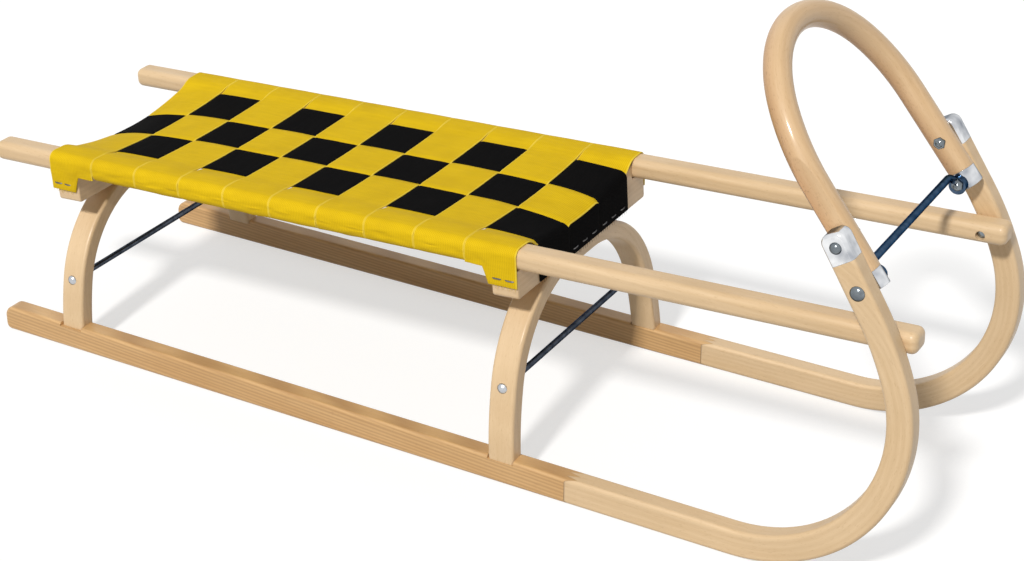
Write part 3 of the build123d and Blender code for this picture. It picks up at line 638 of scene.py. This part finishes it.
# %% Grain group
grain, entry, leave = new_group("wood_grain", [("Vector", VECTOR), ("Ring", VALUE)],
                                [("Tone", VALUE), ("Fleck", VALUE), ("Ring", VALUE), ("Height", VALUE)])
vector = entry.outputs["Vector"]
growth = cloud(grain, stretch(grain, vector, (4.5, 46.0, 46.0)), 4.0)
fibre = cloud(grain, stretch(grain, vector, (28.0, 620.0, 620.0)), 3.0, 0.65)
fleck_field = cloud(grain, stretch(grain, vector, (150.0, 1150.0, 1150.0)), 1.0)
fleck = span(grain, fleck_field, 0.63, 0.74)
rings = place(grain, "ShaderNodeTexWave", {"wave_type": "BANDS", "bands_direction": "Z"},
              Vector=stretch(grain, vector, (2.2, 30.0, 100.0)), Scale=entry.outputs["Ring"], Distortion=5.0,
              Detail=2.0, Detail_Scale=0.7)
tone = calc(grain, "ADD", calc(grain, "MULTIPLY", growth, 0.68), calc(grain, "MULTIPLY", fibre, 0.32))
height = calc(grain, "SUBTRACT", fibre, calc(grain, "MULTIPLY", fleck, 0.5))
for title, value in (("Tone", tone), ("Fleck", fleck), ("Ring", rings.outputs[1]), ("Height", height)):
    grain.links.new(value, leave.inputs[title])
print("grain group nodes:", len(grain.nodes))

# %% [markdown]
# ## Wear
# Hands and snow leave broad faint stains, small scuffs, and paler or darker edges. The Bevel node looks
# round a corner, and where its normal leaves the face's own normal there is an edge. Both masks are shared
# by the woods and the metals, and the rounded normal softens the CAD model's crisp edges. On the woods the
# darker edges are wear; on the metals the same edge mask paints darker rims as painted shade.

# %% Wear group
wear, entry, leave = new_group("wear_and_edge_masks", [("Vector", VECTOR), ("Radius", VALUE)],
                               [("Stain", VALUE), ("Scuff", VALUE), ("Edge", VALUE), ("Normal", VECTOR)])
stain = span(wear, cloud(wear, stretch(wear, entry.outputs["Vector"], (11.0, 16.0, 16.0)), 4.0), 0.38, 0.72)
scuff_field = cloud(wear, stretch(wear, entry.outputs["Vector"], (95.0, 210.0, 210.0)), 5.0, 0.7)
scuff = span(wear, scuff_field, 0.66, 0.78)
rounded = place(wear, "ShaderNodeBevel", {"samples": 4}, Radius=entry.outputs["Radius"]).outputs[0]
face = place(wear, "ShaderNodeNewGeometry").outputs["Normal"]
agree = dot(wear, rounded, face)
edge = span(wear, agree, 0.995, 0.90)
for title, value in (("Stain", stain), ("Scuff", scuff), ("Edge", edge), ("Normal", rounded)):
    wear.links.new(value, leave.inputs[title])
print("wear group nodes:", len(wear.nodes))

# %% [markdown]
# ## Wooden finishes
# All the wood is clear-lacquered: a matt body with a thin smooth coat. The kinds differ in colour, in how
# strongly the rings show and in the way the grain runs, so one function makes them all from a few values. The
# hoop's rear side is painted a darker orange-brown, a painted shade for the rims of the round bar, with small
# dark specks and less gloss there.

# %% Wood maker
RIM_SHADE_FROM = -0.006
RIM_SHADE_FULL = 0.011
RIM_SIDE_COAT = 0.1


def grain_vector(tree, way, turn):
    coordinates = place(tree, "ShaderNodeTexCoord").outputs["Object"]
    if way == "horn":
        return coordinates, use_group(tree, horn_bend, Vector=coordinates).outputs["Vector"]
    if way == "crown":
        origin, up, through = turn
        away = place(tree, "ShaderNodeVectorMath", {"operation": "SUBTRACT"}, i0=coordinates, i1=origin)
        rise = dot(tree, away.outputs[0], up)
        deep = dot(tree, away.outputs[0], through)
        side = place(tree, "ShaderNodeSeparateXYZ", None, Vector=coordinates).outputs["Y"]
        return coordinates, use_group(tree, crown_bend, Rise=rise, Side=side, Across=deep).outputs["Vector"]
    mapped = place(tree, "ShaderNodeMapping", None, Vector=coordinates, Rotation=turn)
    return coordinates, mapped.outputs[0]


def wood_finish(name, pale, deep, fleck_colour, way="straight", turn=(0.0, 0.0, 0.0), ring=(0.5, 0.12),
                coat=0.22, coat_rough=0.22, rim_shade=None):
    material = bpy.data.materials.new(name)
    material.use_nodes = True
    tree = material.node_tree
    shader = tree.nodes["Principled BSDF"]
    coordinates, vector = grain_vector(tree, way, turn)
    wood = use_group(tree, grain, Vector=vector, Ring=ring[0])
    marks = use_group(tree, wear, Vector=coordinates, Radius=0.0012)
    tone = span(tree, wood.outputs["Tone"], 0.34, 0.66)
    colour = blend(tree, tone, (*pale, 1), (*deep, 1))
    ringed = calc(tree, "MULTIPLY", wood.outputs["Ring"], ring[1])
    colour = blend(tree, ringed, colour, (*fleck_colour, 1))
    colour = blend(tree, calc(tree, "MULTIPLY", wood.outputs["Fleck"], 0.3), colour, (*fleck_colour, 1))
    dark_wear_and_painted_rim = tuple(part * 0.80 for part in deep)
    colour = blend(tree, calc(tree, "MULTIPLY", marks.outputs["Stain"], 0.22), colour, (*dark_wear_and_painted_rim, 1))
    colour = blend(tree, calc(tree, "MULTIPLY", marks.outputs["Scuff"], 0.2), colour, (*fleck_colour, 1))
    colour = blend(tree, calc(tree, "MULTIPLY", marks.outputs["Edge"], 0.22), colour, (*dark_wear_and_painted_rim, 1))
    if rim_shade:
        # Painted shade: the rear side of the round hoop is tinted darker orange-brown for its shaded rims; the
        # small dark specks there are marks.
        across = place(tree, "ShaderNodeSeparateXYZ", None, Vector=vector).outputs["Y"]
        rim_shade_side = span(tree, across, RIM_SHADE_FROM, RIM_SHADE_FULL)
        colour = blend(tree, calc(tree, "MULTIPLY", rim_shade_side, 0.6), colour, (*rim_shade, 1))
        speck_field = cloud(tree, stretch(tree, vector, (300.0, 640.0, 640.0)), 2.0)
        specks = calc(tree, "MULTIPLY", span(tree, speck_field, 0.60, 0.68), rim_shade_side)
        speck_colour = tuple(part * 0.4 for part in rim_shade)
        colour = blend(tree, calc(tree, "MULTIPLY", specks, 0.6), colour, (*speck_colour, 1))
        gloss = span(tree, rim_shade_side, 0.0, 1.0, coat, RIM_SIDE_COAT)
        tree.links.new(gloss, shader.inputs["Coat Weight"])
    tree.links.new(colour, shader.inputs["Base Color"])
    rough = span(tree, wood.outputs["Tone"], 0.3, 0.7, 0.42, 0.58)
    rough = calc(tree, "ADD", rough, calc(tree, "MULTIPLY", marks.outputs["Scuff"], 0.2))
    tree.links.new(rough, shader.inputs["Roughness"])
    bump = place(tree, "ShaderNodeBump", None, Strength=0.35, Distance=0.0003, Height=wood.outputs["Height"],
                 Normal=marks.outputs["Normal"])
    tree.links.new(bump.outputs[0], shader.inputs["Normal"])
    shader.inputs["Coat Weight"].default_value = coat
    shader.inputs["Coat Roughness"].default_value = coat_rough
    return material


print("wood maker ready")

# %% Woods of the sled
BEECH_PALE = (0.745, 0.55, 0.335)
BEECH_DEEP = (0.655, 0.462, 0.257)
BEECH_FLECK = (0.42, 0.245, 0.10)
ARCH_LEAN = radians(4.0)
ARCH_BAR = 0.020
ARCH_CROWN_R = 0.124
HOOP_WAY = radians(128.2)
HOOP_BAR_R = 0.0137
HOOP_CROWN_R = 0.122
finishes = {}
beech_along = wood_finish("beech_along", BEECH_PALE, BEECH_DEEP, BEECH_FLECK)
beech_across = wood_finish("beech_across", BEECH_PALE, BEECH_DEEP, BEECH_FLECK, turn=(0.0, 0.0, pi / 2))
beech_horn = wood_finish("beech_horn", BEECH_PALE, BEECH_DEEP, BEECH_FLECK, way="horn", coat=0.25)
ash_runner = wood_finish("ash_runner", (0.69, 0.44, 0.20), (0.57, 0.335, 0.135), (0.34, 0.17, 0.06),
                         turn=(0.02, -0.045, 0.03), ring=(0.75, 0.46))
for word in ("left", "right"):
    finishes["rail_" + word] = beech_along
    finishes["runner_horn_" + word] = beech_horn
    finishes["runner_rear_" + word] = ash_runner
for end in ("rear", "front"):
    low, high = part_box("arch_" + end)
    origin = ((low[0] + high[0]) / 2, 0.0, high[2] - ARCH_BAR - ARCH_CROWN_R)
    up = (-sin(ARCH_LEAN), 0.0, cos(ARCH_LEAN))
    through = (cos(ARCH_LEAN), 0.0, sin(ARCH_LEAN))
    finishes["arch_" + end] = wood_finish("beech_arch_" + end, BEECH_PALE, BEECH_DEEP, BEECH_FLECK, way="crown",
                                          turn=(origin, up, through))
    finishes["crossbeam_" + end] = beech_across
hoop_low, hoop_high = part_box("hoop")
hoop_up = Vector((cos(HOOP_WAY), 0.0, sin(HOOP_WAY)))
hoop_through = Vector((-sin(HOOP_WAY), 0.0, cos(HOOP_WAY)))
hoop_top = Vector((hoop_low[0] + HOOP_BAR_R, 0.0, hoop_high[2] - HOOP_BAR_R))
hoop_turn = (hoop_top - hoop_up * HOOP_CROWN_R, hoop_up, hoop_through)
# The hoop's darker orange-brown rear side is painted rim shade.
finishes["hoop"] = wood_finish("hoop_beech", (0.735, 0.52, 0.31), (0.64, 0.425, 0.22), (0.38, 0.19, 0.06),
                               way="crown", turn=hoop_turn, coat=0.5, coat_rough=0.14,
                               rim_shade=(0.42, 0.17, 0.045))
print("wooden finishes:", len(set(finishes.values())))

# %% [markdown]
# ## Metal finishes
# The caps are bright zinc-plated steel with a cloudy spangle, the bolts are a duller grey steel, the tow rod
# is blued and the tie rods are blackened, with bright riveted heads outside the legs. Metal shows its
# surroundings, so its life comes from a roughness that changes over the surface, fine scratches in the bump,
# and a little tarnish in the colour. In a white studio it would lose its dark rims, so its edges are painted
# darker, a painted shade in place of the dark reflections, and the shader's own tint for low angles dims the
# reflections there.

# %% Metal maker
LOW_ANGLE_TINT = (0.22, 0.24, 0.27, 1.0)


def metal_finish(name, bright, tarnish, smooth, rough, scratch, head_y=None, cloudiness=110.0):
    material = bpy.data.materials.new(name)
    material.use_nodes = True
    tree = material.node_tree
    shader = tree.nodes["Principled BSDF"]
    coordinates = place(tree, "ShaderNodeTexCoord").outputs["Object"]
    marks = use_group(tree, wear, Vector=coordinates, Radius=0.0007)
    spangle = cloud(tree, stretch(tree, coordinates, (cloudiness, cloudiness, cloudiness)), 2.0)
    lines = cloud(tree, stretch(tree, coordinates, (260.0, 1900.0, 1500.0)), 2.0)
    dull = span(tree, spangle, 0.35, 0.7)
    colour = blend(tree, dull, (*bright, 1), (*tarnish, 1))
    colour = blend(tree, calc(tree, "MULTIPLY", marks.outputs["Scuff"], 0.3), colour, (0.20, 0.12, 0.07, 1))
    if head_y:
        across = place(tree, "ShaderNodeSeparateXYZ", None, Vector=coordinates).outputs["Y"]
        at_head = calc(tree, "GREATER_THAN", calc(tree, "ABSOLUTE", across), head_y)
        colour = blend(tree, at_head, colour, (0.52, 0.54, 0.57, 1))
    # Painted shade: the edges get a much darker colour in place of the dark reflections a white studio lacks.
    dark_wear_and_painted_rim = tuple(part * 0.22 for part in tarnish)
    colour = blend(tree, calc(tree, "MULTIPLY", marks.outputs["Edge"], 0.7), colour, (*dark_wear_and_painted_rim, 1))
    tree.links.new(colour, shader.inputs["Base Color"])
    tree.links.new(span(tree, spangle, 0.3, 0.72, smooth, rough), shader.inputs["Roughness"])
    bump = place(tree, "ShaderNodeBump", None, Strength=scratch, Distance=0.0001, Height=lines,
                 Normal=marks.outputs["Normal"])
    tree.links.new(bump.outputs[0], shader.inputs["Normal"])
    shader.inputs["Metallic"].default_value = 1.0
    shader.inputs["Specular Tint"].default_value = LOW_ANGLE_TINT
    return material


zinc_steel = metal_finish("zinc_steel_bright", (0.88, 0.89, 0.90), (0.38, 0.40, 0.44), 0.10, 0.22, 0.08,
                          cloudiness=48.0)
blued_steel = metal_finish("blued_steel", (0.072, 0.115, 0.185), (0.042, 0.070, 0.115), 0.18, 0.32, 0.06)
black_steel = metal_finish("black_steel", (0.075, 0.088, 0.112), (0.038, 0.046, 0.062), 0.20, 0.36, 0.06,
                           head_y=0.150)
bolt_steel = metal_finish("bolt_steel", (0.24, 0.27, 0.29), (0.14, 0.16, 0.18), 0.12, 0.26, 0.2)
staple_wire = metal_finish("staple_wire", (0.24, 0.24, 0.25), (0.12, 0.115, 0.11), 0.35, 0.55, 0.3)
for name in nodes:
    if "ferrule" in name:
        finishes[name] = zinc_steel
    if name.startswith("bolt") or name.startswith("rail_screw"):
        finishes[name] = bolt_steel
    if name.startswith("tie_rod"):
        finishes[name] = black_steel
    if name == "tow_rod":
        finishes[name] = blued_steel
print("nodes with a finish:", len(finishes))

# %% [markdown]
# ## Woven webbing
# The weave follows the cloth, so it reads the UV map, which holds metres across and along the strip. Two
# waves make the warp and the weft, a stretched noise gives the slight ribs across the strip, and the
# distance from the nearest edge gives the selvage, which is paler on the yellow bands.

# %% Weave group
weave, entry, leave = new_group("webbing_weave", [("Vector", VECTOR), ("Width", VALUE)],
                                [("Yarn", VALUE), ("Rib", VALUE), ("Selvage", VALUE), ("Height", VALUE)])
parts = place(weave, "ShaderNodeSeparateXYZ", None, Vector=entry.outputs["Vector"])
across = parts.outputs["X"]
along = parts.outputs["Y"]
warp = calc(weave, "SINE", calc(weave, "MULTIPLY", across, 2 * pi / 0.0021))
slant = calc(weave, "ADD", calc(weave, "MULTIPLY", along, 2 * pi / 0.0016),
             calc(weave, "MULTIPLY", across, 2 * pi / 0.0042))
yarn = calc(weave, "MULTIPLY", calc(weave, "ADD", warp, calc(weave, "SINE", slant)), 0.25)
yarn = calc(weave, "ADD", yarn, 0.5)
rib = cloud(weave, stretch(weave, entry.outputs["Vector"], (26.0, 230.0, 1.0)), 3.0)
far_edge = calc(weave, "SUBTRACT", entry.outputs["Width"], across)
edge = calc(weave, "MINIMUM", across, far_edge)
selvage = span(weave, edge, 0.0016, 0.0008)
height = calc(weave, "ADD", calc(weave, "MULTIPLY", yarn, 0.6), calc(weave, "MULTIPLY", rib, 0.8))
for title, value in (("Yarn", yarn), ("Rib", rib), ("Selvage", selvage), ("Height", height)):
    weave.links.new(value, leave.inputs[title])
print("weave group nodes:", len(weave.nodes))


# %% Webbing maker
def webbing_finish(name, width, lit, shade, selvage_colour, soil, gloss):
    material = bpy.data.materials.new(name)
    material.use_nodes = True
    tree = material.node_tree
    shader = tree.nodes["Principled BSDF"]
    flat_cloth = place(tree, "ShaderNodeUVMap", {"uv_map": "flat_cloth"}).outputs[0]
    coordinates = place(tree, "ShaderNodeTexCoord").outputs["Object"]
    cloth = use_group(tree, weave, Vector=flat_cloth, Width=width)
    tone = calc(tree, "ADD", calc(tree, "MULTIPLY", cloth.outputs["Yarn"], 0.55),
                calc(tree, "MULTIPLY", cloth.outputs["Rib"], 0.45))
    colour = blend(tree, span(tree, tone, 0.25, 0.75), (*shade, 1), (*lit, 1))
    colour = blend(tree, calc(tree, "MULTIPLY", cloth.outputs["Selvage"], 0.6), colour, (*selvage_colour, 1))
    grime = span(tree, cloud(tree, stretch(tree, coordinates, (24.0, 24.0, 24.0)), 4.0), 0.42, 0.78)
    colour = blend(tree, calc(tree, "MULTIPLY", grime, 0.35), colour, (*soil, 1))
    tree.links.new(colour, shader.inputs["Base Color"])
    tree.links.new(span(tree, cloth.outputs["Yarn"], 0.0, 1.0, 0.82, 0.62), shader.inputs["Roughness"])
    bump = place(tree, "ShaderNodeBump", None, Strength=0.6, Distance=0.0004, Height=cloth.outputs["Height"])
    tree.links.new(bump.outputs[0], shader.inputs["Normal"])
    shader.inputs["Specular IOR Level"].default_value = gloss
    shader.inputs["Sheen Weight"].default_value = gloss / 4
    shader.inputs["Sheen Roughness"].default_value = 0.5
    return material


yellow_webbing = webbing_finish("yellow_webbing", CLOTH_W, (0.80, 0.545, 0.008), (0.62, 0.405, 0.003),
                                (0.92, 0.72, 0.10), (0.48, 0.30, 0.005), 0.10)
black_webbing = webbing_finish("black_webbing", STRAP_W, (0.0062, 0.0060, 0.0063), (0.0022, 0.0022, 0.0024),
                               (0.009, 0.009, 0.009), (0.0060, 0.0055, 0.0050), 0.008)
print("webbing finishes:", yellow_webbing.name, black_webbing.name)

# %% [markdown]
# ## Dressing the pieces
# New pieces get their material on their mesh. CAD nodes keep their mesh and only have the material in
# their slots exchanged, so the frame stays as it was imported.

# %% Dress
for piece in bands + [yellow_threads]:
    piece.data.materials.append(yellow_webbing)
for piece in straps + [black_threads]:
    piece.data.materials.append(black_webbing)
hem_staples.data.materials.append(staple_wire)
nut_feet.data.materials.append(bolt_steel)
for name, finish in finishes.items():
    for slot in nodes[name].material_slots:
        slot.material = finish
print("undressed CAD nodes:", [name for name in nodes if name not in finishes])

# %% [markdown]
# ## Studio
# The sled stands on a wide pale floor under one soft key light from its right side, with an even white
# world as fill. The light adds up to about one on a level surface, so colours render about as written. The
# floor and the world are plain white to the camera and in reflections, and the floor keeps the shadow.


# %% Floor
def shown_rays(tree):
    paths = place(tree, "ShaderNodeLightPath").outputs
    mirrored = calc(tree, "MAXIMUM", paths["Is Glossy Ray"], paths["Is Transmission Ray"])
    return calc(tree, "MAXIMUM", paths["Is Camera Ray"], mirrored)


FLOOR_HALF = 12.0
FLOOR_GLOW = 0.59
floor_bm = bmesh.new()
bmesh.ops.create_grid(floor_bm, x_segments=1, y_segments=1, size=FLOOR_HALF)
floor_mesh = bpy.data.meshes.new("floor")
floor_bm.to_mesh(floor_mesh)
floor_bm.free()
floor = bpy.data.objects.new("floor", floor_mesh)
bpy.context.collection.objects.link(floor)
paper = bpy.data.materials.new("white_paper")
paper.use_nodes = True
tree = paper.node_tree
paper_shader = tree.nodes["Principled BSDF"]
paper_shader.inputs["Base Color"].default_value = (0.45, 0.45, 0.45, 1)
paper_shader.inputs["Roughness"].default_value = 0.9
paper_shader.inputs["Emission Color"].default_value = (1, 1, 1, 1)
tree.links.new(calc(tree, "MULTIPLY", shown_rays(tree), FLOOR_GLOW), paper_shader.inputs["Emission Strength"])
floor_mesh.materials.append(paper)
print("floor side:", 2 * FLOOR_HALF, "m")

# %% World and key light
world = bpy.data.worlds.new("studio")
bpy.context.scene.world = world
world.use_nodes = True
tree = world.node_tree
sky = tree.nodes["Background"]
sky.inputs["Color"].default_value = (1, 1, 1, 1)
FILL = 0.35
tree.links.new(span(tree, shown_rays(tree), 0.0, 1.0, FILL, 1.0), sky.inputs["Strength"])
key_data = bpy.data.lights.new("key", "SUN")
key_data.energy = 2.75
key_data.angle = radians(6)
key_data.color = (1.0, 0.98, 0.95)
key = bpy.data.objects.new("key", key_data)
key.rotation_euler = (radians(44), radians(3), 0)
bpy.context.collection.objects.link(key)
print("key light energy:", key_data.energy)
